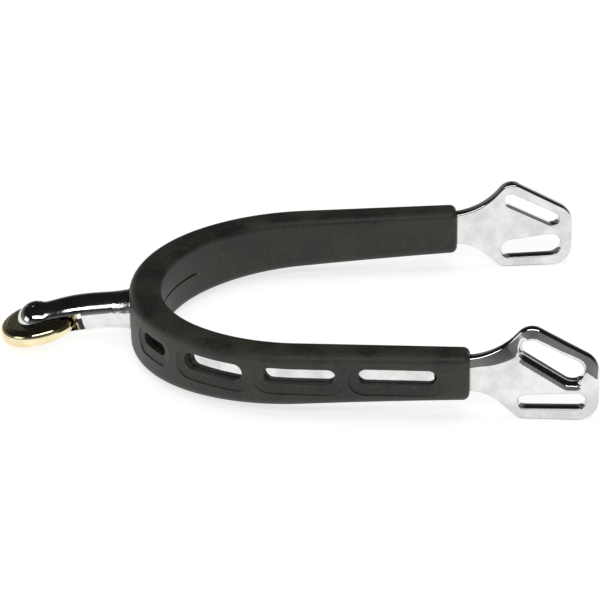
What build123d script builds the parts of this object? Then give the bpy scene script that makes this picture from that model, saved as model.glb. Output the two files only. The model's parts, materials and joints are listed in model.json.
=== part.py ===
from build123d import *
import math
import os

# A riding spur that lies the way it is worn: the neck points to -X, the two arms open towards +X and
# +Z is up.  It stands on Z = 0, and Y = 0 is the plane of symmetry of all but the plates' slots.

# ---- Heel curve of the steel, seen from above, along the middle of its thickness ----
heel_radius = 36.0
heel_arc = 50.0            # degrees turned at heel_radius, each side of the neck
side_radius = 42.3
arm_flare = 4.0            # degrees that each arm opens outwards
steel_thickness = 3.0

# ---- Steel heel band, inside the rubber grip ----
heel_height = 7.9          # middle of the band above the ground, at the heel
band_heel_width = 11.0
waist_bottom = 6.7
waist_width = 8.3
tang_length = 8.0          # the strap plate's tang runs this far into the grip

# ---- Rubber grip ----
grip_arm = 39.3            # straight length of each arm that the rubber covers
grip_heel_thickness = 7.7
grip_end_thickness = 6.5
grip_heel_width = 15.8
grip_end_bottom = 4.7
grip_end_width = 11.9
grip_belly = 0.45          # how far the lower edge bows up from a straight line
grip_outer_round = 2.3
grip_inner_round = 2.0
grip_mouth_round = 1.6      # around the end faces, where the strap plates come out
grip_fit = 0.05             # moulding clearance between rubber and steel
slit_width = 0.5
slit_reach = 22.0          # along the heel curve, each side of the neck

# ---- Windows in the grip: each one's two ends along the heel curve, then its lower and upper edge ----
windows = (
    (16.3, 25.4, 7.9, 11.0),
    (31.2, 46.2, 7.8, 12.0),
    (50.4, 66.9, 8.4, 12.3),
    (71.9, 89.9, 8.6, 12.5),
)
dish_end = 2.2              # a shallow dish around each window is wider by this at each end,
dish_above = 1.2            # this much above it
dish_below = 2.4            # and this much below it
dish_step = 0.25            # upright rim of the dish
dish_slope = 0.35           # further fall of its floor towards the window

# ---- Strap plates, measured forward from the end of the grip and up from the ground ----
plate_length = 29.35
shoulder_reach = 5.45
peak_reach = 13.1
peak_height = 23.75         # where the two upper edges would meet before rounding
brow_height = 14.8          # where the sloping upper edge would meet the front edge
sole_start = 11.3
waist_end = 3.9
shoulder_round = 16.0
peak_round = 4.0
front_round = 5.0
sole_round = 3.0
waist_round = 10.0
plate_edge_round = 0.6
slot_edge_round = 0.35

# Each plate's slots are filed by hand.  Centre and radius of both round ends of the buckle slot, above,
# and of the strap slot, below it
left_slots = (((13.8, 18.25), 1.7), ((24.3, 12.85), 1.7)), (((13.6, 5.0), 2.4), ((23.7, 5.75), 2.95))
right_slots = (((14.0, 17.6), 2.15), ((23.2, 12.3), 2.65)), (((12.75, 4.5), 1.75), ((24.45, 4.9), 1.95))

# ---- Neck ----
neck_root_height = 8.3
neck_root_radius = 5.0
neck_length = 22.8          # along its axis, from the grip's outer face to the middle of the ball
neck_turn = 15.0            # degrees that the neck bends downwards
neck_flare = 1.6            # length of the short flare at the root
neck_flare_radius = 4.65
neck_middle_place = 0.45    # share of the neck's length
neck_middle_radius = 4.5
neck_waist_place = 0.80
neck_waist_radius = 4.15
ball_radius = 4.9
ball_blend = 2.0

# ---- Rowel disc, its pin and its slot ----
disc_radius = 9.55
disc_thickness = 4.3
rowel_lean = 12.3           # degrees that the pin leans back from upright
disc_drop = 0.9             # middle of the disc below the middle of the ball, along the pin
disc_side_play = 0.15       # axial clearance on each face
rim_clearance = 1.8         # between the rim and the root of the slot
disc_rim_share = 0.48       # round of the rim as a share of the thickness: nearly a full round
bore_chamfer = 0.25
pin_radius = 1.6
pin_play = 0.05             # radial running clearance in the disc's bore
pin_head_stand = 0.12       # domed pin ends stand this far out of the ball

# ---- Values worked out from the sizes above ----
side_arc = 90.0 - heel_arc - arm_flare
heel_run = math.radians(heel_arc) * heel_radius
side_run = math.radians(side_arc) * side_radius
curve_length = heel_run + side_run + grip_arm
reach = 200.0               # longer than the whole spur
overshoot = 0.05            # outlines of cutters run past the piece by this share of their length
band_arm = grip_arm - tang_length


def heading(turned):
    """Unit vector of the heel curve after it has turned by so many degrees from +Y."""
    return Vector(math.sin(math.radians(turned)), math.cos(math.radians(turned)), 0)


def outward(turned):
    """Unit vector square to the heel curve, away from the boot."""
    return Vector(-math.cos(math.radians(turned)), math.sin(math.radians(turned)), 0)


def curve_point(run):
    """Point on the heel curve, and degrees turned there, at a length along it from the heel."""
    centre = Vector(heel_radius, 0, 0)
    if run <= heel_run:
        turned = math.degrees(run / heel_radius)
        return centre + outward(turned) * heel_radius, turned
    centre = centre + outward(heel_arc) * (heel_radius - side_radius)
    if run <= heel_run + side_run:
        turned = heel_arc + math.degrees((run - heel_run) / side_radius)
        return centre + outward(turned) * side_radius, turned
    turned = 90.0 - arm_flare
    start = centre + outward(turned) * side_radius
    return start + heading(turned) * (run - heel_run - side_run), turned


grip_end, arm_turned = curve_point(curve_length)
band_end, _ = curve_point(curve_length - tang_length)


def side_line(outset, taper, arm):
    """One edge of a curved bar, from above: the heel curve moved outwards, with a tapering arm."""
    with BuildLine() as line:
        heel = JernArc((-outset, 0), (0, 1), heel_radius + outset, -heel_arc)
        side = JernArc(heel @ 1, heel % 1, side_radius + outset, -(side_arc + taper))
        PolarLine(side @ 1, arm - math.radians(taper) * (side_radius + outset), arm_flare - taper)
    return line.line


def curved_bar(thickness, end_thickness, arm):
    """Face of a curved bar seen from above, with both its arms."""
    taper = math.degrees(math.atan((thickness - end_thickness) / 2 / grip_arm))
    with BuildSketch() as face:
        with BuildLine():
            outer = add(side_line(thickness / 2, taper, arm))
            inner = add(side_line(-thickness / 2, -taper, arm))
            Line(outer.edges()[-1] @ 1, inner.edges()[-1] @ 1)
            mirror(about=Plane.XZ)
        make_face()
    return face.sketch


def band_side(clearance, end):
    """The band's face seen from the side, with a clearance all round."""
    heel_x = -steel_thickness / 2 - clearance
    half = band_heel_width / 2 + clearance
    low = waist_bottom - clearance
    high = waist_bottom + waist_width + clearance
    with BuildSketch() as face:
        with BuildLine():
            Polyline(
                (heel_x - 1, heel_height - half),
                (heel_x, heel_height - half),
                (band_end.X, low),
                (end, low),
                (end, high),
                (band_end.X, high),
                (heel_x, heel_height + half),
                (heel_x - 1, heel_height + half),
                close=True,
            )
        make_face()
    return face.sketch


# ---- Heel band: flat steel bar bent around the heel ----
with BuildPart() as heel_band:
    with BuildSketch():
        add(curved_bar(steel_thickness, steel_thickness, band_arm))
    extrude(amount=reach)
    with BuildSketch(Plane.XZ):
        add(band_side(0, reach))
    extrude(amount=reach, both=True, mode=Mode.INTERSECT)
heel_band.part.label = "heel_band"


# ---- Strap plates: tang, waist and two slots each, carried on from the ends of the band ----
plate_plane = Plane(
    origin=grip_end + outward(arm_turned) * (steel_thickness / 2),
    x_dir=heading(arm_turned),
    z_dir=-outward(arm_turned),
)
waist_top = waist_bottom + waist_width


def strap_plate(slots):
    """Plate for the left arm: tang, waist and head, with its two slots."""
    with BuildPart() as plate:
        with BuildSketch(plate_plane):
            with BuildLine():
                outline = FilletPolyline(
                    (-tang_length, waist_top),
                    (shoulder_reach, waist_top),
                    (peak_reach, peak_height),
                    (plate_length, brow_height),
                    (plate_length, 0),
                    (sole_start, 0),
                    (waist_end, waist_bottom),
                    (-tang_length, waist_bottom),
                    radius=(shoulder_round, peak_round, front_round, front_round, sole_round, waist_round),
                )
                Line(outline @ 1, outline @ 0)
            make_face()
        extrude(amount=steel_thickness)
        tang_edges = plate.edges().group_by(Axis(plate_plane.origin, plate_plane.x_dir))[0]
        through_edges = plate.edges().filter_by(Axis(plate_plane.origin, plate_plane.z_dir))
        fillet(plate.edges() - tang_edges - through_edges, plate_edge_round)
        before_slots = plate.edges()
        for slot in slots:
            with BuildSketch(plate_plane):
                with BuildSketch(mode=Mode.PRIVATE) as ends:
                    for centre, radius in slot:
                        with Locations(centre):
                            Circle(radius)
                make_hull(ends.sketch.edges())
            extrude(amount=steel_thickness, mode=Mode.SUBTRACT)
        fillet(plate.edges() - before_slots, slot_edge_round)
    return plate.part


with BuildPart() as left_strap_plate:
    add(strap_plate(left_slots))
left_strap_plate.part.label = "left_strap_plate"

with BuildPart() as right_strap_plate:
    mirror(strap_plate(right_slots), about=Plane.XZ)
right_strap_plate.part.label = "right_strap_plate"


# ---- Neck: round bar that bends down to a ball, with the disc's slot and the pin's hole ----
grip_face = -grip_heel_thickness / 2
neck_radius = neck_length / math.radians(neck_turn)   # of its bend


def neck_plane(share):
    """Plane square to the neck's axis at a share of its length, its normal towards the ball."""
    turned = math.radians(neck_turn) * share
    root = Vector(grip_face, 0, neck_root_height)
    bend = Vector(-math.sin(turned), 0, math.cos(turned) - 1) * neck_radius
    return Plane(origin=root + bend, x_dir=(0, 1, 0), z_dir=(-math.cos(turned), 0, -math.sin(turned)))


ball = neck_plane(1.0)
lean = math.radians(rowel_lean)
pin_axis = Vector(-math.sin(lean), 0, math.cos(lean))
rowel_plane = Plane(
    origin=ball.origin - pin_axis * disc_drop,
    x_dir=(math.cos(lean), 0, math.sin(lean)),
    z_dir=pin_axis,
)
slot_height = disc_thickness + 2 * disc_side_play
slot_back = disc_radius + rim_clearance

with BuildPart() as neck:
    with BuildSketch(neck_plane(0).offset(grip_face)):
        Circle(neck_root_radius)
    with BuildSketch(neck_plane(0)):
        Circle(neck_root_radius)
    loft(ruled=True)
    with BuildSketch(neck_plane(0)):
        Circle(neck_root_radius)
    with BuildSketch(neck_plane(neck_flare / neck_length)):
        Circle(neck_flare_radius)
    with BuildSketch(neck_plane(neck_middle_place)):
        Circle(neck_middle_radius)
    with BuildSketch(neck_plane(neck_waist_place)):
        Circle(neck_waist_radius)
    with BuildSketch(ball):
        Circle(neck_waist_radius)
    loft()
    with Locations(ball):
        Sphere(ball_radius)
    fillet(neck.edges(Select.NEW), ball_blend)
    with BuildSketch():
        add(curved_bar(steel_thickness, steel_thickness, band_arm))
    extrude(amount=reach, both=True, mode=Mode.SUBTRACT)
    with BuildSketch(rowel_plane.offset(-slot_height / 2)):
        with Locations((slot_back - reach / 2, 0)):
            Rectangle(reach, reach)
    extrude(amount=slot_height, mode=Mode.SUBTRACT)
    with Locations(rowel_plane):
        Cylinder(pin_radius, reach, mode=Mode.SUBTRACT)
neck.part.label = "neck"

# ---- Rowel disc: turned brass with a full-round rim ----
with BuildPart(rowel_plane) as rowel_disc:
    Cylinder(disc_radius, disc_thickness)
    fillet(rowel_disc.edges(), disc_thickness * disc_rim_share)
    Hole(pin_radius + pin_play)
    chamfer(rowel_disc.edges(Select.LAST).filter_by(GeomType.CIRCLE), bore_chamfer)
rowel_disc.part.label = "rowel_disc"

# ---- Rowel pin: pressed into both cheeks, its ends domed with the ball ----
with BuildPart() as rowel_pin:
    with Locations(rowel_plane):
        Cylinder(pin_radius, reach)
    with Locations(ball):
        Sphere(ball_radius + pin_head_stand, mode=Mode.INTERSECT)
rowel_pin.part.label = "rowel_pin"

# ---- Space that the steel takes inside the rubber grip, open past both ends ----
with BuildPart() as steel_cavity:
    with BuildSketch():
        cavity_thickness = steel_thickness + 2 * grip_fit
        add(curved_bar(cavity_thickness, cavity_thickness, reach))
    extrude(amount=reach)
    with BuildSketch(Plane.XZ):
        add(band_side(grip_fit, reach))
    extrude(amount=reach, both=True, mode=Mode.INTERSECT)


def curve_stretch(start, finish):
    """The heel curve between two lengths along it."""
    with BuildLine() as line:
        for radius, end in ((heel_radius, heel_run), (side_radius, heel_run + side_run)):
            run = min(finish, end) - start
            if run > 0:
                place, turned = curve_point(start)
                JernArc(place, heading(turned), radius, -math.degrees(run / radius))
                start = end
        if finish > start:
            Line(curve_point(start)[0], curve_point(finish)[0])
    return line.line


def window_cutter(start, finish, low, high):
    """Solid that opens one window on the left side, with the dish around it."""
    rise = (low + high) / 2
    radius = (high - low) / 2
    dish_radius = radius + (dish_above + dish_below) / 2
    dish_drop = (dish_below - dish_above) / 2
    along_arm = max(0, 1 - (curve_length - (start + finish) / 2) / grip_arm)
    surface = (grip_heel_thickness + (grip_end_thickness - grip_heel_thickness) * along_arm) / 2
    rim = surface - dish_step
    wall = rim - dish_slope
    first, last = start + radius, finish - radius
    lift = Vector(0, 0, rise)
    place, turned = curve_point(first)
    with BuildPart() as cutter:
        with BuildLine():
            add(curve_stretch(first, last).moved(Location(lift)))
        with BuildSketch(Plane(place + lift, x_dir=outward(turned), z_dir=heading(turned))):
            with BuildLine():
                Polyline(
                    (0, -radius),
                    (wall, -radius),
                    (rim, -dish_radius - dish_drop),
                    (surface + dish_step, -dish_radius - dish_drop),
                    (surface + dish_step, dish_radius - dish_drop),
                    (rim, dish_radius - dish_drop),
                    (wall, radius),
                    (0, radius),
                    close=True,
                )
            make_face()
        sweep()
        for run, side in ((first, -1), (last, 1)):
            place, turned = curve_point(run)
            square = Plane(place + lift, x_dir=heading(turned), z_dir=outward(turned))
            dish = (side * (dish_end - dish_radius + radius), dish_drop)
            with BuildSketch(square):
                Circle(radius)
            extrude(amount=wall)
            with BuildSketch(square.offset(wall)):
                Circle(radius)
            with BuildSketch(square.offset(rim)):
                with Locations(dish):
                    Circle(dish_radius)
            loft(ruled=True)
            with BuildSketch(square.offset(rim)):
                with Locations(dish):
                    Circle(dish_radius)
            extrude(amount=2 * dish_step)
    return cutter.part


def faces_outwards(face):
    """1 for an upright wall that faces away from the boot, -1 for one that faces it, 0 for the rest."""
    normal = face.normal_at()
    if abs(normal.Z) > 0.01:
        return 0
    return 1 if normal.dot(face.center() - Vector(heel_radius, 0, 0)) > 0 else -1


# ---- Rubber grip: sleeve over band and tangs ----
with BuildPart() as rubber_grip:
    with BuildSketch():
        add(curved_bar(grip_heel_thickness, grip_end_thickness, grip_arm))
    extrude(amount=reach)
    with BuildSketch(Plane.XZ):
        with BuildLine():
            middle = ((grip_face + grip_end.X) / 2, grip_end_bottom / 2 + grip_belly)
            with BuildLine(mode=Mode.PRIVATE):
                low = ThreePointArc((grip_face + grip_outer_round, 0), middle, (grip_end.X, grip_end_bottom))
                high = Line((grip_face, grip_heel_width), (grip_end.X, grip_end_bottom + grip_end_width))
            lower = ThreePointArc(low @ -overshoot, middle, low @ (1 + overshoot))
            upper = Line(high @ (1 + overshoot), high @ -overshoot)
            Line(lower @ 1, upper @ 0)
            Line(upper @ 1, lower @ 0)
        make_face()
    extrude(amount=reach, both=True, mode=Mode.INTERSECT)
    for facing, edge_round in ((1, grip_outer_round), (-1, grip_inner_round)):
        mouths = rubber_grip.faces().sort_by(Axis.X)[-2:]
        walls = rubber_grip.faces().filter_by(lambda face: faces_outwards(face) == facing)
        rims = walls.edges() - rubber_grip.edges().filter_by(Axis.Z) - mouths.edges()
        fillet(rims, edge_round)
    mouths = rubber_grip.faces().sort_by(Axis.X)[-2:]
    fillet(mouths.edges(), grip_mouth_round)
    add(steel_cavity.part, mode=Mode.SUBTRACT)
    with BuildSketch(neck_plane(0)):
        Circle(neck_root_radius + grip_fit)
    extrude(amount=grip_heel_thickness / 2, both=True, mode=Mode.SUBTRACT)
    for window in windows:
        cutter = window_cutter(*window)
        add(cutter, mode=Mode.SUBTRACT)
        mirror(cutter, about=Plane.XZ, mode=Mode.SUBTRACT)
    with BuildSketch(Plane.XY.offset(heel_height)):
        with Locations((heel_radius, 0)):
            Circle(heel_radius - steel_thickness / 2)
        Rectangle(2 * heel_radius, 2 * curve_point(slit_reach)[0].Y, mode=Mode.INTERSECT)
    extrude(amount=slit_width / 2, both=True, mode=Mode.SUBTRACT)
rubber_grip.part.label = "rubber_grip"

# ---- Origin: the middle of the spur's outline seen from above, on the ground ----
nodes = (heel_band, left_strap_plate, right_strap_plate, neck, rowel_disc, rowel_pin, rubber_grip)
boxes = [node.part.bounding_box() for node in nodes]
rear = min(box.min.X for box in boxes)
front = max(box.max.X for box in boxes)
ground = min(box.min.Z for box in boxes)
to_origin = Location((-(rear + front) / 2, 0, -ground))

os.makedirs("parts", exist_ok=True)
for node in nodes:
    node.part.move(to_origin)
    export_step(node.part, f"parts/{node.part.label}.step")
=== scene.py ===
"""Looks of a riding spur: polished steel, slotted strap plates, a brass disc rowel and a rubber grip."""

from __future__ import annotations

import json
import logging
import math
from dataclasses import dataclass
from enum import Enum
from typing import Any, Sequence

import bpy
import numpy as np
from mathutils import Matrix, Vector
from mathutils.geometry import delaunay_2d_cdt

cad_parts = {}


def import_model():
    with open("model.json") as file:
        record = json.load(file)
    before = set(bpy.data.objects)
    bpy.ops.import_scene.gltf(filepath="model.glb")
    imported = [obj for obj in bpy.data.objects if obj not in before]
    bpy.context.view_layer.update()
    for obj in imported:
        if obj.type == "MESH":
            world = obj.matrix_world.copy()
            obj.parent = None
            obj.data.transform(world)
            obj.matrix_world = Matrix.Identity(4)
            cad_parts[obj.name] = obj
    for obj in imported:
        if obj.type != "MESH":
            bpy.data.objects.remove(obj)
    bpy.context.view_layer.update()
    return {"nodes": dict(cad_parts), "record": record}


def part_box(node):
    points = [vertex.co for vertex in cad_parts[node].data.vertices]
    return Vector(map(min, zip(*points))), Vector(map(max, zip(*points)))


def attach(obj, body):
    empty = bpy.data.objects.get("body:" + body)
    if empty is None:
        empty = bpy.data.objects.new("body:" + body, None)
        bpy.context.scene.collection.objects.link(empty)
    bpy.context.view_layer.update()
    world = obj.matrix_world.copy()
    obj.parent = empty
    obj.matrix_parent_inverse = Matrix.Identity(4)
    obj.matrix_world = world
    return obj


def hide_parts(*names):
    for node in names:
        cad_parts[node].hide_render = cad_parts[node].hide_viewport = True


MM = 0.001
log = logging.getLogger("spur")

Colour = tuple[float, float, float]
Point = tuple[float, float, float]
Place = tuple[float, float]

EDGE_TURN = (0.005, 0.1)  # how far a normal turns from flat face to worn edge, as 1 - cosine
OPEN_SHARE = (0.55, 0.97)  # share of open surroundings, from an inside corner to a plain face

# --------------------------------------------------------------------------------------------------
# Shader maths
# --------------------------------------------------------------------------------------------------


class Signal:
    """One value inside a shader, on which Python's operators add Math nodes."""

    def __init__(self, graph: ShaderGraph, socket: bpy.types.NodeSocket) -> None:
        """Keeps the socket and the graph that it belongs to.

        Args:
            graph: The shader that holds the socket.
            socket: An output socket.
        """
        self.graph = graph
        self.socket = socket

    def _math(self, operation: str, *values: Signal | float) -> Signal:
        """Adds one Math node.

        Args:
            operation: Blender's name of the operation.
            values: Its inputs, in order.

        Returns:
            The node's result.
        """
        return self.graph.node("ShaderNodeMath", {"operation": operation}, dict(enumerate(values)))

    def __add__(self, other: Signal | float) -> Signal:
        """self + other."""
        return self._math("ADD", self, other)

    def __radd__(self, other: float) -> Signal:
        """other + self."""
        return self._math("ADD", other, self)

    def __sub__(self, other: Signal | float) -> Signal:
        """self - other."""
        return self._math("SUBTRACT", self, other)

    def __rsub__(self, other: float) -> Signal:
        """other - self."""
        return self._math("SUBTRACT", other, self)

    def __mul__(self, other: Signal | float) -> Signal:
        """self * other."""
        return self._math("MULTIPLY", self, other)

    def __pow__(self, other: Signal | float) -> Signal:
        """self ** other."""
        return self._math("POWER", self, other)

    def step(self, low: float, high: float) -> Signal:
        """Rises smoothly from 0 to 1.

        Args:
            low: The value that gives 0.
            high: The value that gives 1.

        Returns:
            The eased share, held between 0 and 1.
        """
        settings = {"interpolation_type": "SMOOTHSTEP"}
        values = {"Value": self, "From Min": low, "From Max": high}
        return self.graph.node("ShaderNodeMapRange", settings, values)

    def colours(self, low: Signal | Colour, high: Signal | Colour) -> Signal:
        """Mixes two colours by this value.

        Args:
            low: The colour at 0.
            high: The colour at 1.

        Returns:
            The mixed colour.
        """
        values = {"Factor": self, "A": low, "B": high}
        return self.graph.node("ShaderNodeMix", {"data_type": "RGBA"}, values, "Result")


class ShaderGraph:
    """The node tree of a material or of the world."""

    def __init__(self, name: str, world: bpy.types.World | None = None) -> None:
        """Starts an empty material, or empties a world.

        Args:
            name: The material's name.
            world: The world, if the nodes are for one.
        """
        self.material = world or bpy.data.materials.new(name)
        self.material.use_nodes = True
        self.tree = self.material.node_tree
        self.tree.nodes.clear()
        self.output = self.tree.nodes.new("ShaderNodeOutputWorld" if world else "ShaderNodeOutputMaterial")

    def node(
        self,
        kind: str,
        settings: dict[str, Any] | None = None,
        values: dict[str | int, Any] | None = None,
        output: str | int = 0,
    ) -> Signal:
        """Adds one node.

        Args:
            kind: Blender's type of the node.
            settings: Its own settings, set before the sockets.
            values: A number, a colour or a Signal for each socket that is set.
            output: The socket that the result is read from.

        Returns:
            That output of the node.
        """
        made = self.tree.nodes.new(kind)
        for key, value in (settings or {}).items():
            setattr(made, key, value)
        for key, value in (values or {}).items():
            self._feed(self._socket(made.inputs, key), value)
        return Signal(self, self._socket(made.outputs, output))

    @staticmethod
    def _socket(sockets: Any, key: str | int) -> bpy.types.NodeSocket:
        """Finds the enabled socket of a name, or the one at an index.

        Args:
            sockets: A node's inputs or outputs.
            key: The name or the index.

        Returns:
            The socket.
        """
        if isinstance(key, int):
            return sockets[key]
        return next(socket for socket in sockets if socket.name == key and socket.enabled)

    def _feed(self, socket: bpy.types.NodeSocket, value: Any) -> None:
        """Links a Signal to a socket, or sets a constant on it.

        Args:
            socket: The input socket.
            value: A Signal, a number, a vector or a colour.
        """
        if isinstance(value, Signal):
            self.tree.links.new(value.socket, socket)
        elif socket.type == "RGBA":
            socket.default_value = (*value, 1.0)
        else:
            socket.default_value = value

    def place(self, stretch: Point = (1.0, 1.0, 1.0)) -> Signal:
        """A piece's own coordinates, in metres.

        Args:
            stretch: A factor for each axis.

        Returns:
            The vector.
        """
        own = self.node("ShaderNodeTexCoord", output="Object")
        return self.node("ShaderNodeMapping", {}, {"Vector": own, "Scale": stretch})

    def noise(
        self,
        grain: float,
        detail: float = 2.0,
        where: Signal | None = None,
        rough: float = 0.5,
    ) -> Signal:
        """Smooth noise.

        Args:
            grain: Size of its blobs in metres.
            detail: How many finer layers it has.
            where: Coordinates, if not the piece's own.
            rough: Weight of the finer layers.

        Returns:
            A value around 0.5.
        """
        values = {"Vector": where or self.place(), "Scale": 1.0 / grain, "Detail": detail, "Roughness": rough}
        return self.node("ShaderNodeTexNoise", {}, values)

    def bump(self, height: Signal, depth: float, onto: Signal | None = None) -> Signal:
        """Turns a height into a normal.

        Args:
            height: The height, from 0 to 1.
            depth: What 1 stands for, in metres.
            onto: A normal that it is added to.

        Returns:
            The normal.
        """
        values: dict[str | int, Any] = {"Height": height, "Distance": depth, "Strength": 1.0}
        if onto is not None:
            values["Normal"] = onto
        return self.node("ShaderNodeBump", {}, values)

    def edge(self, reach: float) -> Signal:
        """Where the surface turns sharply, as it does along an edge.

        Args:
            reach: Width of the strip along an edge, in metres.

        Returns:
            About 0 on a flat face, rising to 1 along an edge.
        """
        plain = self.node("ShaderNodeNewGeometry", output="Normal")
        eased = self.node("ShaderNodeBevel", {"samples": 6}, {"Radius": reach})
        product = {"operation": "DOT_PRODUCT"}
        along = self.node("ShaderNodeVectorMath", product, {0: plain, 1: eased}, "Value")
        return (1.0 - along).step(*EDGE_TURN)

    def crevice(self, reach: float) -> Signal:
        """Where other surfaces stand close by, as they do along an inside corner. The finishes paint shade
        into their colour with it.

        Args:
            reach: How close, in metres.

        Returns:
            0 in the open, rising to 1 in a corner.
        """
        openness = self.node("ShaderNodeAmbientOcclusion", {"samples": 8}, {"Distance": reach}, "AO")
        return 1.0 - openness.step(*OPEN_SHARE)

    def finish(self, **values: Any) -> bpy.types.Material:
        """Closes the material with a Principled shader.

        Args:
            values: What its sockets hold, with underscores for spaces.

        Returns:
            The material.
        """
        sockets = {key.replace("_", " "): value for key, value in values.items()}
        shader = self.node("ShaderNodeBsdfPrincipled", {}, sockets)
        return self.close(shader)

    def close(self, shader: Signal) -> bpy.types.Material:
        """Links a shader to the output.

        Args:
            shader: The finished shader.

        Returns:
            The material.
        """
        self.tree.links.new(shader.socket, self.output.inputs["Surface"])
        return self.material


# --------------------------------------------------------------------------------------------------
# Finishes
# --------------------------------------------------------------------------------------------------


@dataclass(frozen=True)
class PolishedSteel:
    """Steel buffed by hand: faintly wavy, with smudges, hairlines, duller worn edges and painted shade in
    inside corners. Sizes in metres.
    """

    name: str = "polished_steel"
    light: Colour = (0.82, 0.82, 0.81)
    shade: Colour = (0.64, 0.64, 0.63)
    worn: Colour = (0.36, 0.36, 0.35)
    # Painted shade: the colour that inside corners are darkened towards.
    painted_shade: Colour = (0.05, 0.05, 0.05)
    roughness: float = 0.05
    smudge: float = 0.09
    hairline_grain: float = 0.09 * MM
    hairline_depth: float = 0.0006 * MM
    hairline_stretch: Point = (0.08, 0.08, 1.0)
    wave_grain: float = 5.0 * MM
    wave_depth: float = 0.012 * MM
    cloud_grain: float = 8.0 * MM
    blotch_grain: float = 4.5 * MM
    print_grain: float = 0.5 * MM
    print_roughness: float = 0.04
    wear_reach: float = 0.5 * MM
    wear_grain: float = 1.2 * MM
    wear_roughness: float = 0.12
    painted_shade_reach: float = 0.5 * MM
    painted_shade_share: float = 0.6
    scuffed: Place | None = None
    scuff_grain: float = 1.1 * MM
    scuff_roughness: float = 0.10
    nick_grain: float = 0.45 * MM
    nick_stretch: Point = (0.6, 1.6, 1.6)
    scuff_depth: float = 0.05 * MM

    def make(self) -> bpy.types.Material:
        """Builds the material.

        Returns:
            The material.
        """
        graph = ShaderGraph(self.name)
        cloud = graph.noise(self.cloud_grain, 3.0)
        prints = graph.noise(self.print_grain, 2.0).step(0.6, 0.75)
        rubbed = graph.edge(self.wear_reach) * graph.noise(self.wear_grain, 3.0).step(0.36, 0.6)
        blotch = graph.noise(self.blotch_grain, 4.0, rough=0.55)
        clean = (cloud * 0.5 + blotch * 0.5).step(0.38, 0.62).colours(self.shade, self.light)
        colour = rubbed.colours(clean, self.worn)
        # Painted shade: colour darkens towards near-black where other surfaces stand close by.
        corner_shade = graph.crevice(self.painted_shade_reach) * self.painted_shade_share
        colour = corner_shade.colours(colour, self.painted_shade)
        smudges = cloud.step(0.5, 0.75) * self.smudge + prints * self.print_roughness
        rough = self.roughness + smudges + rubbed * self.wear_roughness
        lines = graph.noise(self.hairline_grain, 1.0, graph.place(self.hairline_stretch))
        normal = graph.bump(graph.noise(self.wave_grain, 1.0), self.wave_depth)
        normal = graph.bump(lines, self.hairline_depth, normal)
        if self.scuffed:
            along = graph.node("ShaderNodeSeparateXYZ", {}, {0: graph.place()}, "X")
            scuff = along.step(*self.scuffed) * graph.noise(self.scuff_grain, 2.0).step(0.42, 0.6)
            rough = rough + scuff * self.scuff_roughness
            nicks = graph.noise(self.nick_grain, 3.0, graph.place(self.nick_stretch))
            normal = graph.bump(nicks * scuff, self.scuff_depth, normal)
        return graph.finish(Base_Color=colour, Metallic=1.0, Roughness=rough, Normal=normal)


@dataclass(frozen=True)
class TurnedBrass:
    """Brass turned on a lathe and polished: ringed, with tarnish on the flats. Sizes in metres."""

    centre: Point
    lean: float
    name: str = "turned_brass"
    light: Colour = (0.99, 0.90, 0.64)
    shade: Colour = (0.82, 0.70, 0.42)
    tarnish: Colour = (0.28, 0.26, 0.10)
    roughness: float = 0.09
    ring_grain: float = 0.22 * MM
    ring_depth: float = 0.0008 * MM
    wave_grain: float = 4.0 * MM
    wave_depth: float = 0.006 * MM
    cloud_grain: float = 4.0 * MM
    flat_end: Place = (7.2 * MM, 8.0 * MM)
    tarnish_share: float = 0.5
    tarnish_roughness: float = 0.16
    ring_roughness: float = 0.05

    def make(self) -> bpy.types.Material:
        """Builds the material.

        Returns:
            The material.
        """
        graph = ShaderGraph(self.name)
        own = graph.node("ShaderNodeTexCoord", output="Object")
        moved = graph.node("ShaderNodeVectorMath", {"operation": "SUBTRACT"}, {0: own, 1: self.centre})
        around = {0: moved, "Angle": self.lean}
        turned = graph.node("ShaderNodeVectorRotate", {"rotation_type": "Y_AXIS"}, around)
        ahead, aside, height = (
            graph.node("ShaderNodeSeparateXYZ", {}, {0: turned}, axis) for axis in "XYZ"
        )
        radius = (ahead * ahead + aside * aside) ** 0.5
        rings = graph.node("ShaderNodeCombineXYZ", {}, {0: radius, 2: height})
        groove = graph.noise(self.ring_grain, 2.0, rings)
        cloud = graph.noise(self.cloud_grain, 4.0)
        flat = 1.0 - radius.step(*self.flat_end)
        dull = flat * cloud.step(0.3, 0.65)
        bright = (cloud + groove * 0.3).step(0.45, 0.9).colours(self.shade, self.light)
        colour = (dull * self.tarnish_share).colours(bright, self.tarnish)
        rough = self.roughness + dull * self.tarnish_roughness
        rough = rough + groove.step(0.5, 0.75) * self.ring_roughness
        normal = graph.bump(graph.noise(self.wave_grain, 1.0), self.wave_depth)
        normal = graph.bump(groove, self.ring_depth, normal)
        return graph.finish(Base_Color=colour, Metallic=1.0, Roughness=rough, Normal=normal)


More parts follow.
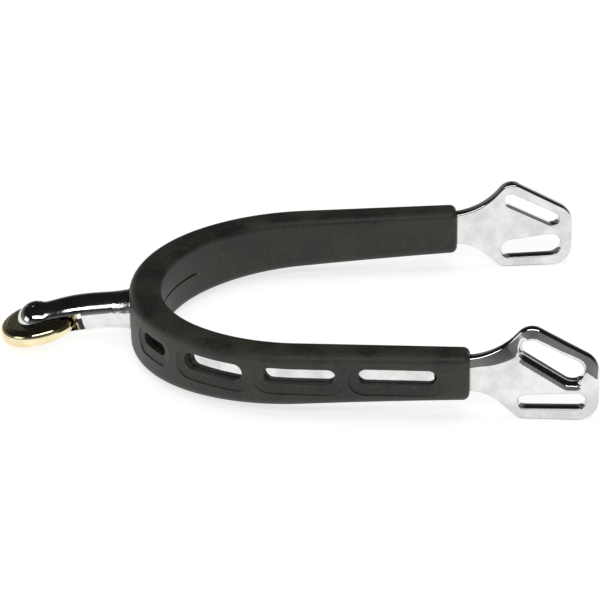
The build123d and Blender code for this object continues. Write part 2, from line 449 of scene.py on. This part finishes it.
@dataclass(frozen=True)
class MouldedRubber:
    """Black moulded rubber: satin, grained, rubbed at its edges with a painted sheen along them, olive and
    dusty. Sizes in metres.
    """

    name: str = "moulded_rubber"
    dark: Colour = (0.017, 0.017, 0.017)
    bloom: Colour = (0.042, 0.044, 0.030)
    # Edge colour: rubbed wear and a painted sheen together.
    rubbed: Colour = (0.072, 0.072, 0.068)
    dust: Colour = (0.22, 0.22, 0.20)
    # Painted shade: the colour that inside corners are darkened towards.
    painted_shade: Colour = (0.006, 0.006, 0.006)
    roughness: float = 0.50
    grain: float = 0.14 * MM
    grain_depth: float = 0.014 * MM
    swell_grain: float = 1.6 * MM
    swell_depth: float = 0.035 * MM
    cloud_grain: float = 9.0 * MM
    mottle_grain: float = 1.3 * MM
    wear_reach: float = 0.6 * MM
    wear_grain: float = 1.5 * MM
    wear_and_sheen_share: float = 0.65
    wear_shine: float = 0.06
    painted_shade_reach: float = 0.8 * MM
    painted_shade_share: float = 0.9
    speck: float = 0.55 * MM
    speck_patch: float = 2.2 * MM
    speck_roughness: float = 0.3
    cloud_roughness: float = 0.2

    def make(self) -> bpy.types.Material:
        """Builds the material.

        Returns:
            The material.
        """
        graph = ShaderGraph(self.name)
        cloud = graph.noise(self.cloud_grain, 4.0)
        grain = graph.noise(self.grain, 2.0)
        edge = graph.edge(self.wear_reach) * graph.noise(self.wear_grain, 3.0).step(0.35, 0.65)
        cells = {"Vector": graph.place(), "Scale": 1.0 / self.speck}
        spot = graph.node("ShaderNodeTexVoronoi", {"feature": "F1"}, cells, "Distance")
        patches = graph.noise(self.speck_patch, 2.0).step(0.52, 0.62)
        specks = (1.0 - spot.step(0.06, 0.16)) * patches
        mottle = graph.noise(self.mottle_grain, 5.0, rough=0.7)
        colour = (cloud * 0.6 + mottle * 0.4).step(0.38, 0.6).colours(self.dark, self.bloom)
        # Edges are lightened: partly rubbed wear, partly a painted sheen along the rims.
        colour = (edge * self.wear_and_sheen_share).colours(colour, self.rubbed)
        # Painted shade: colour darkens towards near-black where other surfaces stand close, in the dishes and
        # along the window walls.
        colour = (graph.crevice(self.painted_shade_reach) * self.painted_shade_share).colours(colour, self.painted_shade)
        colour = specks.colours(colour, self.dust)
        rough = self.roughness + (cloud - 0.5) * self.cloud_roughness
        rough = rough + specks * self.speck_roughness - edge * self.wear_shine
        normal = graph.bump(grain, self.grain_depth)
        normal = graph.bump(graph.noise(self.swell_grain, 3.0), self.swell_depth, normal)
        return graph.finish(Base_Color=colour, Roughness=rough, Normal=normal)


@dataclass(frozen=True)
class PaperFloor:
    """Matt white paper. Camera and reflections see it darker but glowing, so that it stays white far away."""

    name: str = "paper_floor"
    white: Colour = (0.88, 0.88, 0.88)
    seen_white: Colour = (0.55, 0.55, 0.55)
    glow: float = 0.74

    def make(self) -> bpy.types.Material:
        """Builds the material.

        Returns:
            The material.
        """
        graph = ShaderGraph(self.name)
        camera = graph.node("ShaderNodeLightPath", output="Is Camera Ray")
        glossy = graph.node("ShaderNodeLightPath", output="Is Glossy Ray")
        paper = graph.node("ShaderNodeBsdfDiffuse", {}, {"Color": self.white})
        light = graph.node("ShaderNodeEmission", {}, {"Color": (1.0, 1.0, 1.0), "Strength": self.glow})
        shaded = graph.node("ShaderNodeBsdfDiffuse", {}, {"Color": self.seen_white})
        seen = graph.node("ShaderNodeAddShader", {}, {0: shaded, 1: light})
        both = graph.node("ShaderNodeMixShader", {}, {0: camera + glossy, 1: paper, 2: seen})
        return graph.close(both)


# --------------------------------------------------------------------------------------------------
# Studio
# --------------------------------------------------------------------------------------------------


@dataclass(frozen=True)
class Lamp:
    """A soft box that points at the spur."""

    name: str
    azimuth: float
    elevation: float
    distance: float
    width: float
    height: float
    strength: float
    mirrored: bool = True

    def place(self, target: Vector) -> None:
        """Puts the lamp in the scene.

        Args:
            target: The point that it looks at.
        """
        data = bpy.data.lights.new(self.name, "AREA")
        data.shape = "RECTANGLE"
        data.size = self.width
        data.size_y = self.height
        data.energy = self.strength * math.pi * self.width * self.height
        lamp = bpy.data.objects.new(self.name, data)
        lamp.visible_glossy = self.mirrored
        bpy.context.scene.collection.objects.link(lamp)
        back = direction(self.azimuth, self.elevation)
        lamp.location = target + back * self.distance
        lamp.rotation_mode = "QUATERNION"
        lamp.rotation_quaternion = (-back).to_track_quat("-Z", "Y")


def direction(azimuth: float, elevation: float) -> Vector:
    """Unit vector towards a place in the studio.

    Args:
        azimuth: Degrees from -Y towards +X.
        elevation: Degrees above the floor.

    Returns:
        The vector.
    """
    turned, raised = math.radians(azimuth), math.radians(elevation)
    level = math.cos(raised)
    return Vector((math.sin(turned) * level, -math.cos(turned) * level, math.sin(raised)))


@dataclass(frozen=True)
class Studio:
    """Floor, lamps, surroundings and camera."""

    azimuth: float = 1.184
    elevation: float = 25.819
    roll: float = -1.008
    distance: float = 0.6686
    lens: float = 165.2
    target: Point = (2.015 * MM, 4.79 * MM, 7.9 * MM)
    floor_size: float = 6.0
    horizon: Colour = (0.21, 0.21, 0.21)
    zenith: Colour = (0.012, 0.012, 0.012)
    horizon_reach: Place = (0.05, 0.50)
    lamps: tuple[Lamp, ...] = (
        Lamp("front_strip", 0.0, 45.0, 1.0, 1.0, 0.24, 4.0),
        Lamp("left_box", -68.0, 16.0, 1.0, 0.45, 0.3, 1.3),
        Lamp("overhead_box", 180.0, 82.0, 1.2, 1.0, 1.0, 2.0, False),
    )

    def build(self) -> None:
        """Makes everything around the spur."""
        self._floor()
        self._world()
        for lamp in self.lamps:
            lamp.place(Vector(self.target))
        self._camera()
        bpy.context.scene.view_settings.view_transform = "Standard"

    def _floor(self) -> None:
        """Lays the paper floor."""
        half = self.floor_size / 2
        corners = [(-half, -half, 0.0), (half, -half, 0.0), (half, half, 0.0), (-half, half, 0.0)]
        mesh = bpy.data.meshes.new("floor")
        mesh.from_pydata(corners, [], [(0, 1, 2, 3)])
        floor = bpy.data.objects.new("floor", mesh)
        bpy.context.scene.collection.objects.link(floor)
        mesh.materials.append(PaperFloor().make())

    def _world(self) -> None:
        """Sets dim surroundings that are paler near the horizon."""
        world = bpy.data.worlds.new("studio")
        world.use_nodes = True
        graph = ShaderGraph("studio", world)
        around = graph.node("ShaderNodeTexCoord", output="Generated")
        height = graph.node("ShaderNodeSeparateXYZ", {}, {0: around}, "Z")
        colour = height.step(*self.horizon_reach).colours(self.horizon, self.zenith)
        graph.close(graph.node("ShaderNodeBackground", {}, {"Color": colour}))
        bpy.context.scene.world = world

    def _camera(self) -> None:
        """Makes the camera and hands it to the scene."""
        data = bpy.data.cameras.new("camera")
        data.lens = self.lens
        data.sensor_width = 36.0
        camera = bpy.data.objects.new("camera", data)
        bpy.context.scene.collection.objects.link(camera)
        back = direction(self.azimuth, self.elevation)
        level = direction(self.azimuth + 90.0, 0.0)
        upright = back.cross(level)
        tilt = math.radians(self.roll)
        right = level * math.cos(tilt) + upright * math.sin(tilt)
        turned = Matrix((right, back.cross(right), back)).transposed()
        camera.matrix_world = Matrix.Translation(Vector(self.target) + back * self.distance) @ turned.to_4x4()
        bpy.context.scene.camera = camera


# --------------------------------------------------------------------------------------------------
# Strap plates
# --------------------------------------------------------------------------------------------------


class Side(Enum):
    """The arm that a plate is on."""

    LEFT = 1
    RIGHT = -1


@dataclass(frozen=True)
class Arc:
    """Round stretch of an outline, whose inside is on the left. A negative sweep is a hollow stretch."""

    centre: Place
    radius: float
    start: float
    sweep: float

    def points(self, step: float) -> tuple[np.ndarray, np.ndarray]:
        """Points along the arc, without its last.

        Args:
            step: Distance between them.

        Returns:
            Points, and the direction inwards at each.
        """
        count = max(5, int(abs(self.sweep) * self.radius / step))
        angle = self.start + np.linspace(0.0, self.sweep, count, endpoint=False)
        away = np.column_stack([np.cos(angle), np.sin(angle)])
        return np.array(self.centre) + away * self.radius, -away * np.sign(self.sweep)

    def gap(self, places: np.ndarray) -> tuple[np.ndarray, np.ndarray]:
        """The arc's place nearest to each place.

        Args:
            places: The places.

        Returns:
            The distance to it, positive inside the outline, and the foot.
        """
        away = places - np.array(self.centre)
        far = np.maximum(np.hypot(*away.T), 1e-9)
        turn = (np.arctan2(away[:, 1], away[:, 0]) - self.start) * np.sign(self.sweep) % (2 * math.pi)
        foot = np.array(self.centre) + away / far[:, None] * self.radius
        distance = (self.radius - far) * np.sign(self.sweep)
        return np.where(turn <= abs(self.sweep), distance, np.inf), foot


@dataclass(frozen=True)
class Straight:
    """Straight stretch of an outline."""

    start: Place
    end: Place

    def points(self, step: float) -> tuple[np.ndarray, np.ndarray]:
        """Points along the line, without its last.

        Args:
            step: Distance between them.

        Returns:
            Points, and the direction inwards at each.
        """
        start, along = np.array(self.start), np.array(self.end) - np.array(self.start)
        share = np.linspace(0.0, 1.0, max(1, int(np.hypot(*along) / step)), endpoint=False)
        inwards = np.array((-along[1], along[0])) / np.hypot(*along)
        return start + share[:, None] * along, np.tile(inwards, (len(share), 1))

    def gap(self, places: np.ndarray) -> tuple[np.ndarray, np.ndarray]:
        """The line's place nearest to each place.

        Args:
            places: The places.

        Returns:
            The distance to it, positive inside the outline, and the foot.
        """
        start, along = np.array(self.start), np.array(self.end) - np.array(self.start)
        share = np.clip((places - start) @ along / (along @ along), 0.0, 1.0)
        foot = start + share[:, None] * along
        away = places - foot
        side = np.where(along[0] * away[:, 1] - along[1] * away[:, 0] >= 0.0, 1.0, -1.0)
        return np.hypot(*away.T) * side, foot


Outline = list[Arc | Straight]


def rounded(corners: Sequence[Place], radii: Sequence[float]) -> Outline:
    """A closed outline with round corners.

    Args:
        corners: Its corners, counter-clockwise.
        radii: The radius at each corner.

    Returns:
        The outline.
    """
    arcs: list[Arc | None] = []
    ends = []
    for index, radius in enumerate(radii):
        corner = np.array(corners[index])
        before = np.array(corners[index - 1]) - corner
        after = np.array(corners[(index + 1) % len(corners)]) - corner
        before, after = before / np.hypot(*before), after / np.hypot(*after)
        half = math.acos(float(before @ after)) / 2
        first, last = (corner + way * radius / math.tan(half) for way in (before, after))
        ends.append((first, last))
        if radius == 0.0:
            arcs.append(None)
            continue
        centre = corner + (before + after) / np.hypot(*(before + after)) * radius / math.sin(half)
        (ax, ay), (bx, by) = first - centre, last - centre
        sweep = math.atan2(ax * by - ay * bx, ax * bx + ay * by)
        arcs.append(Arc(tuple(centre), radius, math.atan2(ay, ax), sweep))
    outline: Outline = []
    for index, arc in enumerate(arcs):
        if arc:
            outline.append(arc)
        outline.append(Straight(tuple(ends[index][1]), tuple(ends[(index + 1) % len(ends)][0])))
    return outline


def loop_points(outline: Outline, step: float) -> tuple[np.ndarray, np.ndarray]:
    """Points around an outline.

    Args:
        outline: The outline.
        step: Distance between points.

    Returns:
        Points, and the direction inwards at each.
    """
    parts = [stretch.points(step) for stretch in outline]
    return np.vstack([part[0] for part in parts]), np.vstack([part[1] for part in parts])


def nearest(places: np.ndarray, outline: Outline) -> tuple[np.ndarray, np.ndarray]:
    """The outline's place nearest to each place.

    Args:
        places: The places.
        outline: The outline.

    Returns:
        The distance to it, positive inside, and the foot.
    """
    best, where = outline[0].gap(places)
    for stretch in outline[1:]:
        gap, foot = stretch.gap(places)
        closer = np.abs(gap) < np.abs(best)
        best = np.where(closer, gap, best)
        where = np.where(closer[:, None], foot, where)
    return best, where


def quarter(gap: np.ndarray, radius: np.ndarray | float) -> np.ndarray:
    """Depth of a round edge.

    Args:
        gap: Distance from the edge.
        radius: Radius of the round.

    Returns:
        How far the surface has fallen there.
    """
    left = np.clip(radius - np.maximum(gap, 0.0), 0.0, None)
    return radius - np.sqrt(np.maximum(radius ** 2 - left ** 2, 0.0))


def softened(values: np.ndarray, blend: float | np.ndarray) -> np.ndarray:
    """Positive values as they are and 0 for the rest, with a soft bend between.

    Args:
        values: The values.
        blend: Reach of the bend.

    Returns:
        The held values.
    """
    share = np.clip(values / blend, -1.0, 1.0)
    return np.where(values > blend, values, blend * (1.0 + share) ** 2 / 4.0)


def ramp(values: np.ndarray, low: float, high: float) -> np.ndarray:
    """Rises smoothly from 0 to 1.

    Args:
        values: The values.
        low: The value that gives 0.
        high: The value that gives 1.

    Returns:
        The eased shares.
    """
    share = np.clip((values - low) / (high - low), 0.0, 1.0)
    return share * share * (3.0 - 2.0 * share)


SLOT_EDGE = 0.35  # radius of a slot's plain edges, in millimetres
ROUND_SPAN = (0.2, 0.9)  # how squarely above the slot its larger round begins and is whole
CUT_BLEND = 4  # a higher power makes a sharper crease where two cuts meet
SLOPE_REACH = 0.003  # half the distance over which a slope is taken, in millimetres
EDGE_RINGS = 8  # rows of points across a rounded edge
MERGE = 1e-7  # points closer than this, in millimetres, are one


@dataclass(frozen=True)
class Slot:
    """A slot filed through a plate between two round ends. Sizes are in millimetres."""

    rear: Place
    rear_radius: float
    front: Place
    front_radius: float
    round_above: float
    relief: float = 0.0
    relief_widths: Place = (2.2, 1.15)
    relief_slopes: Place = (0.36, 0.85)
    relief_lean: float = 25.0
    relief_turn: float = 0.35
    relief_bend: float = 0.06

    def outline(self) -> Outline:
        """The slot's outline, counter-clockwise.

        Returns:
            Two arcs and two straight sides.
        """
        along = np.array(self.front) - np.array(self.rear)
        heading = math.atan2(along[1], along[0])
        lean = math.acos((self.rear_radius - self.front_radius) / float(np.hypot(*along)))
        front = Arc(self.front, self.front_radius, heading - lean, 2 * lean)
        rear = Arc(self.rear, self.rear_radius, heading + lean, 2 * (math.pi - lean))
        ends = []
        for arc in (front, rear):
            for angle in (arc.start, arc.start + arc.sweep):
                reach = np.array((math.cos(angle), math.sin(angle))) * arc.radius
                ends.append(tuple(np.array(arc.centre) + reach))
        return [front, Straight(ends[1], ends[2]), rear, Straight(ends[3], ends[0])]

    def _outwards(self, places: np.ndarray) -> np.ndarray:
        """Which way each place lies from the slot's middle line.

        Args:
            places: Places on the plate.

        Returns:
            Unit vectors.
        """
        rear, along = np.array(self.rear), np.array(self.front) - np.array(self.rear)
        share = np.clip((places - rear) @ along / (along @ along), 0.0, 1.0)
        away = places - rear - share[:, None] * along
        return away / np.hypot(*away.T)[:, None]

    def edge(self, places: np.ndarray, inside: bool) -> np.ndarray:
        """How far the plate's face falls at the slot's rounded edge.

        Args:
            places: Places on the plate.
            inside: Whether it is the face towards the boot.

        Returns:
            Depths.
        """
        gap = -nearest(places, self.outline())[0]
        if inside:
            return quarter(gap, SLOT_EDGE)
        along = np.array(self.front) - np.array(self.rear)
        up = np.array((-along[1], along[0])) / np.hypot(*along)
        above = ramp(self._outwards(places) @ up, *ROUND_SPAN)
        return quarter(gap, SLOT_EDGE + (self.round_above - SLOT_EDGE) * above)

    def filed(self, places: np.ndarray) -> np.ndarray:
        """How far the outer face is filed away on the slot's lower and rear side.

        Args:
            places: Places on the plate.

        Returns:
            Depths.
        """
        gap = -nearest(places, self.outline())[0]
        along = np.array(self.front) - np.array(self.rear)
        along = along / np.hypot(*along)
        up = np.array((-along[1], along[0]))
        lean = math.radians(self.relief_lean)
        faced = self._outwards(places) @ (-up * math.cos(lean) - along * math.sin(lean))
        weight = self.relief * ramp(faced, -self.relief_turn, self.relief_turn)
        depth = np.zeros(len(places))
        for width, slope in zip(self.relief_widths, self.relief_slopes):
            depth += weight * slope * softened(width - gap, self.relief_bend * width)
        return depth


@dataclass(frozen=True)
class StrapPlate:
    """Flat forged plate with two slots, its upper edge dressed over by hand. Sizes are in millimetres."""

    side: Side
    slots: tuple[Slot, Slot]
    tang: float = 8.0
    waist: Place = (6.7, 15.0)
    shoulder: Place = (5.45, 15.0)
    peak: Place = (13.1, 23.749)
    brow: Place = (29.35, 14.8)
    sole: Place = (11.3, 0.0)
    chin: float = 3.9
    shoulder_round: float = 16.0
    peak_round: float = 4.0
    front_round: float = 5.0
    sole_round: float = 3.0
    waist_round: float = 10.0
    flare: float = 4.0
    thickness: float = 3.0
    edge_round: float = 0.6
    dressing: float = 1.0
    dressing_places: tuple[float, ...] = (2.0, 8.0, 13.0, 22.0, 30.0)
    dressing_widths: tuple[float, ...] = (2.6, 3.5, 3.6, 3.3, 4.4)
    dressing_slopes: tuple[float, ...] = (0.28, 0.46, 0.38, 0.36, 0.33)
    dressing_bend: float = 0.15
    step: float = 0.16
    mesh_size: float = 0.3

    @property
    def name(self) -> str:
        """Name of the plate's CAD node."""
        return f"{self.side.name.lower()}_strap_plate"

    def build(self, body: str) -> bpy.types.Object:
        """Makes the plate where its CAD node is.

        Args:
            body: The body that it rides on.

        Returns:
            The piece.
        """
        loops = [loop_points(self._outline(), self.step)]
        for slot in self.slots:
            points, inwards = loop_points(slot.outline(), self.step)
            loops.append((points[::-1], -inwards[::-1]))
        flat, triangles = self._flat(loops)
        sides = [self._face(flat, inside) for inside in (False, True)]
        count = len(flat)
        faces = [(c, b, a) for a, b, c in triangles]
        faces += [(a + count, b + count, c + count) for a, b, c in triangles]
        start = 0
        for points, _ in loops:
            ring = list(range(start, start + len(points)))
            for here, there in zip(ring, ring[1:] + ring[:1]):
                faces.append((here, there, there + count, here + count))
            start += len(points)
        points, normals = self._placed(*(np.vstack(both) for both in zip(*sides)))
        if self.side is Side.RIGHT:
            faces = [tuple(reversed(face)) for face in faces]
        mesh = bpy.data.meshes.new(self.name)
        mesh.from_pydata(points.tolist(), [], faces)
        mesh.shade_smooth()
        mesh.normals_split_custom_set_from_vertices(normals.tolist())
        plate = bpy.data.objects.new(f"{self.name}_forged", mesh)
        bpy.context.scene.collection.objects.link(plate)
        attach(plate, body)
        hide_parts(self.name)
        return plate

    def dress(self, plate: bpy.types.Object, steel: bpy.types.Material) -> None:
        """Gives the plate its finish.

        Args:
            plate: The piece.
            steel: Its material.
        """
        plate.data.materials.append(steel)

    def _outline(self) -> Outline:
        """The plate's outline, counter-clockwise.

        Returns:
            The outline.
        """
        low, high = self.waist
        corners = ((-self.tang, high), (-self.tang, low), (self.chin, low), self.sole, (self.brow[0], 0.0),
                   self.brow, self.peak, self.shoulder)
        return rounded(corners, (0.0, 0.0, self.waist_round, self.sole_round, self.front_round,
                                 self.front_round, self.peak_round, self.shoulder_round))

    def _brim(self) -> Outline:
        """The plate's upper edge, carried on straight past the front.

        Returns:
            An outline that has it as its upper side.
        """
        (left, high), far = (-self.tang, self.waist[1]), 60.0
        fall = (self.peak[1] - self.brow[1]) / (self.brow[0] - self.peak[0])
        corners = ((left, -far), (far, -far), (far, self.peak[1] - fall * (far - self.peak[0])), self.peak,
                   self.shoulder, (left, high))
        return rounded(corners, (0.0, 0.0, 0.0, self.peak_round, self.shoulder_round, 0.0))

    def _flat(self, loops: list[tuple[np.ndarray, np.ndarray]]) -> tuple[np.ndarray, list[tuple[int, ...]]]:
        """Fills the plate's outline with triangles.

        Args:
            loops: Points around the outline and the slots, and the directions into the steel.

        Returns:
            Places, the loops' own first, and triangles between them.
        """
        outlines = [(self._outline(), 1.0)] + [(slot.outline(), -1.0) for slot in self.slots]
        places = [points for points, _ in loops]
        places += [
            points + inwards * self.edge_round * (1.0 - math.cos(turn))
            for points, inwards in loops
            for turn in np.linspace(0.0, math.pi / 2, EDGE_RINGS)[1:]
        ]
        low, high = loops[0][0].min(axis=0), loops[0][0].max(axis=0)
        spans = [np.arange(low[axis], high[axis], self.mesh_size) for axis in (0, 1)]
        grid = np.stack(np.meshgrid(*spans), -1).reshape(-1, 2)
        clear = np.min([nearest(grid, outline)[0] * sign for outline, sign in outlines], axis=0)
        places.append(grid[clear > self.edge_round + self.mesh_size / 2])
        edges, start = [], 0
        for points, _ in loops:
            edges += [(start + index, start + (index + 1) % len(points)) for index in range(len(points))]
            start += len(points)
        made = delaunay_2d_cdt([Vector(place) for place in np.vstack(places)], edges, [], 0, MERGE)
        flat, triangles = np.array([tuple(place) for place in made[0]]), np.array(made[2])
        middles = flat[triangles].mean(axis=1)
        solid = np.min([nearest(middles, outline)[0] * sign for outline, sign in outlines], axis=0) > 0.0
        return flat, [tuple(int(corner) for corner in row) for row in triangles[solid]]

    def _fall(self, places: np.ndarray, inside: bool) -> np.ndarray:
        """How far the surface lies behind the flat of its face.

        Args:
            places: Places on the plate.
            inside: Whether it is the face towards the boot.

        Returns:
            Depths.
        """
        depth = quarter(nearest(places, self._outline())[0], self.edge_round)
        if not inside:
            gap, foot = nearest(places, self._brim())
            width = np.interp(foot[:, 0], self.dressing_places, self.dressing_widths)
            slope = np.interp(foot[:, 0], self.dressing_places, self.dressing_slopes)
            cuts = [self.dressing * slope * softened(width - gap, self.dressing_bend * width)]
            cuts += [slot.filed(places) for slot in self.slots]
            # Where two cuts meet, the deeper one leads, so that they don't add up to a thin web.
            depth += np.sum([cut ** CUT_BLEND for cut in cuts], axis=0) ** (1.0 / CUT_BLEND)
        for slot in self.slots:
            depth += slot.edge(places, inside)
        return depth

    def _face(self, flat: np.ndarray, inside: bool) -> tuple[np.ndarray, np.ndarray]:
        """One face of the plate.

        Args:
            flat: Places on the plate.
            inside: Whether it is the face towards the boot.

        Returns:
            Points and normals: along the plate, up, and towards the boot.
        """
        slopes = []
        for way in np.eye(2) * SLOPE_REACH:
            rise = self._fall(flat + way, inside) - self._fall(flat - way, inside)
            slopes.append(rise / (2 * SLOPE_REACH))
        depth = self._fall(flat, inside)
        normals = np.column_stack([*slopes, np.full(len(flat), 1.0 if inside else -1.0)])
        points = np.column_stack([flat, self.thickness - depth if inside else depth])
        return points, normals / np.linalg.norm(normals, axis=1)[:, None]

    def _placed(self, points: np.ndarray, normals: np.ndarray) -> tuple[np.ndarray, np.ndarray]:
        """Moves the plate to its arm.

        Args:
            points: Points along the plate, up, and towards the boot.
            normals: Normals in the same directions.

        Returns:
            Both in the spur's own frame, in metres.
        """
        lowest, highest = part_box(self.name)
        run, rise = math.cos(math.radians(self.flare)), math.sin(math.radians(self.flare))
        side = self.side.value
        turn = np.array(((run, side * rise, 0.0), (0.0, 0.0, 1.0), (rise, -side * run, 0.0)))
        tip = self.brow[0]
        outermost = (highest.y if self.side is Side.LEFT else lowest.y) / MM
        shift = np.array((
            highest.x / MM - tip * run - (self.thickness - self.edge_round) * rise,
            outermost - (tip - self.edge_round) * rise * side,
            0.0,
        ))
        return (points @ turn + shift) * MM, normals @ turn


LEFT_SLOTS = (
    Slot((13.8, 18.25), 1.7, (24.3, 12.85), 1.7, 0.5),
    Slot((13.6, 5.0), 2.4, (23.7, 5.75), 2.95, SLOT_EDGE),
)
RIGHT_SLOTS = (
    Slot((14.0, 17.6), 2.15, (23.2, 12.3), 2.65, 0.7, 1.0),
    Slot((12.75, 4.5), 1.75, (24.45, 4.9), 1.95, SLOT_EDGE),
)


# --------------------------------------------------------------------------------------------------
# Rowel and its pin
# --------------------------------------------------------------------------------------------------


@dataclass(frozen=True)
class Spindle:
    """The line that the rowel turns on."""

    centre: Point
    axis: Point

    def turned(
        self,
        name: str,
        profile: Sequence[Place],
        closed: bool,
        around: int = 224,
    ) -> bpy.types.Object:
        """Makes a piece that is round about the line.

        Args:
            name: The piece's name.
            profile: Radius and height of its outline in millimetres, from the top, outwards and down.
            closed: Whether the outline is joined to its start, as it is around a bore.
            around: Points in a full turn.

        Returns:
            The piece.
        """
        line = np.array(profile)
        ahead, behind = np.roll(line, -1, axis=0) - line, line - np.roll(line, 1, axis=0)
        if not closed:
            ahead[-1], behind[0] = behind[-1], ahead[0]
        along = ahead / np.hypot(*ahead.T)[:, None] + behind / np.hypot(*behind.T)[:, None]
        facing = np.column_stack([-along[:, 1], along[:, 0]])
        upright = Vector(self.axis).to_track_quat("Z", "Y").to_matrix()
        vertices, normals, rows = [], [], []
        for (radius, height), (out, up) in zip(line, facing):
            count = around if radius > 0.0 else 1
            rows.append([len(vertices) + index % count for index in range(around)])
            for angle in np.linspace(0.0, 2 * math.pi, count, endpoint=False):
                spoke = Vector((math.cos(angle), math.sin(angle), 0.0))
                sideways = spoke * out if count > 1 else Vector()
                normals.append(upright @ (sideways + Vector((0.0, 0.0, up))).normalized())
                away = spoke * radius + Vector((0.0, 0.0, height))
                vertices.append(Vector(self.centre) + upright @ away * MM)
        faces = []
        for upper, lower in zip(rows, rows[1:] + (rows[:1] if closed else [])):
            for here in range(around):
                there = (here + 1) % around
                corner = (upper[here], lower[here], lower[there], upper[there])
                faces.append(tuple(dict.fromkeys(corner)))
        mesh = bpy.data.meshes.new(name)
        mesh.from_pydata(vertices, [], faces)
        mesh.shade_smooth()
        mesh.normals_split_custom_set_from_vertices(normals)
        piece = bpy.data.objects.new(name, mesh)
        bpy.context.scene.collection.objects.link(piece)
        return piece


@dataclass(frozen=True)
class RowelDisc:
    """Turned brass disc: flat faces, a shallow bevel around each, a round rim. Sizes are in millimetres."""

    spindle: Spindle
    radius: float = 9.55
    thickness: float = 4.3
    bore: float = 1.65
    chamfer: float = 0.25
    flat_radius: float = 7.25
    step: float = 0.07
    bevel_radius: float = 8.15
    bevel_drop: float = 0.26
    crisp: float = 0.03
    rim_start: float = 0.08
    rim_points: int = 20

    def build(self, body: str) -> bpy.types.Object:
        """Makes the disc.

        Args:
            body: The body that it rides on.

        Returns:
            The piece.
        """
        top = self.thickness / 2
        shoulder = top - self.bevel_drop
        upper = [(self.bore, top - self.chamfer), (self.bore + self.chamfer, top)]
        upper += [(self.bore + self.chamfer + self.crisp, top)]
        upper += [(self.flat_radius - self.crisp, top), (self.flat_radius, top)]
        upper += [(self.flat_radius + self.step, top - self.step)]
        upper += [(self.flat_radius + self.step + self.crisp, top - self.step)]
        upper += [(self.bevel_radius, shoulder)]
        reach = self.radius - self.bevel_radius
        for turn in np.linspace(self.rim_start, math.pi / 2, self.rim_points):
            upper.append((self.bevel_radius + reach * math.sin(turn), shoulder * math.cos(turn)))
        lower = [(radius, -height) for radius, height in reversed(upper[:-1])]
        disc = self.spindle.turned("rowel_disc_turned", upper + lower, True)
        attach(disc, body)
        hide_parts("rowel_disc")
        return disc

    def dress(self, disc: bpy.types.Object, brass: bpy.types.Material) -> None:
        """Gives the disc its finish.

        Args:
            disc: The piece.
            brass: Its material.
        """
        disc.data.materials.append(brass)


@dataclass(frozen=True)
class RowelPin:
    """Steel pin whose ends are dressed off with the ball. Sizes are in millimetres."""

    spindle: Spindle
    radius: float = 1.6
    ball_radius: float = 4.9
    ball_rise: float = 0.9
    stand: float = 0.02
    dome_points: int = 12
    around: int = 96

    def build(self, body: str) -> bpy.types.Object:
        """Makes the pin.

        Args:
            body: The body that it rides on.

        Returns:
            The piece.
        """
        profile = []
        dome = self.ball_radius + self.stand
        for side in (1, -1):
            arch = [
                (radius, self.ball_rise + side * math.sqrt(dome ** 2 - radius ** 2))
                for radius in np.linspace(0.0, self.radius, self.dome_points)
            ]
            profile += arch[::side]
        pin = self.spindle.turned("rowel_pin_dressed", profile, False, self.around)
        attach(pin, body)
        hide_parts("rowel_pin")
        return pin

    def dress(self, pin: bpy.types.Object, steel: bpy.types.Material) -> None:
        """Gives the pin its finish.

        Args:
            pin: The piece.
            steel: Its material.
        """
        pin.data.materials.append(steel)


SCUFF_REACH = (7.0 * MM, 1.0 * MM)  # behind the grip, where the neck's scuffs begin and are whole


def corners(box: Sequence[Vector]) -> list[list[float]]:
    """A box as plain lists of numbers."""
    return [list(corner) for corner in box]


def main() -> None:
    """Builds the spur's pieces and the studio around them."""
    logging.basicConfig(level=logging.INFO, format="%(name)s: %(message)s")
    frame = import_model()
    joint = frame["record"]["behaviour"]["joints"][0]
    steel = PolishedSteel().make()
    lean = math.atan2(-joint["axis"][0], joint["axis"][2])
    brass = TurnedBrass(tuple(joint["pos_m"]), lean).make()
    rubber = MouldedRubber().make()
    grip_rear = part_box("rubber_grip")[0].x
    scuffed = (grip_rear - SCUFF_REACH[0], grip_rear - SCUFF_REACH[1])
    neck_steel = PolishedSteel("neck_steel", scuffed=scuffed).make()
    spindle = Spindle(tuple(joint["pos_m"]), tuple(joint["axis"]))
    made = (
        (StrapPlate(Side.LEFT, LEFT_SLOTS, dressing=0.05), "spur_frame", steel),
        (StrapPlate(Side.RIGHT, RIGHT_SLOTS), "spur_frame", steel),
        (RowelPin(spindle), "spur_frame", neck_steel),
        (RowelDisc(spindle), "rowel", brass),
    )
    for piece, body, material in made:
        piece.dress(piece.build(body), material)
        log.info("made %s", type(piece).__name__)
    dressing = {"rowel_disc": brass, "rubber_grip": rubber, "neck": neck_steel}
    for name, node in frame["nodes"].items():
        node.data.materials[0] = dressing.get(name, steel)
        log.info("finished %s", name)
    Studio().build()


if __name__ == "__main__":
    main()
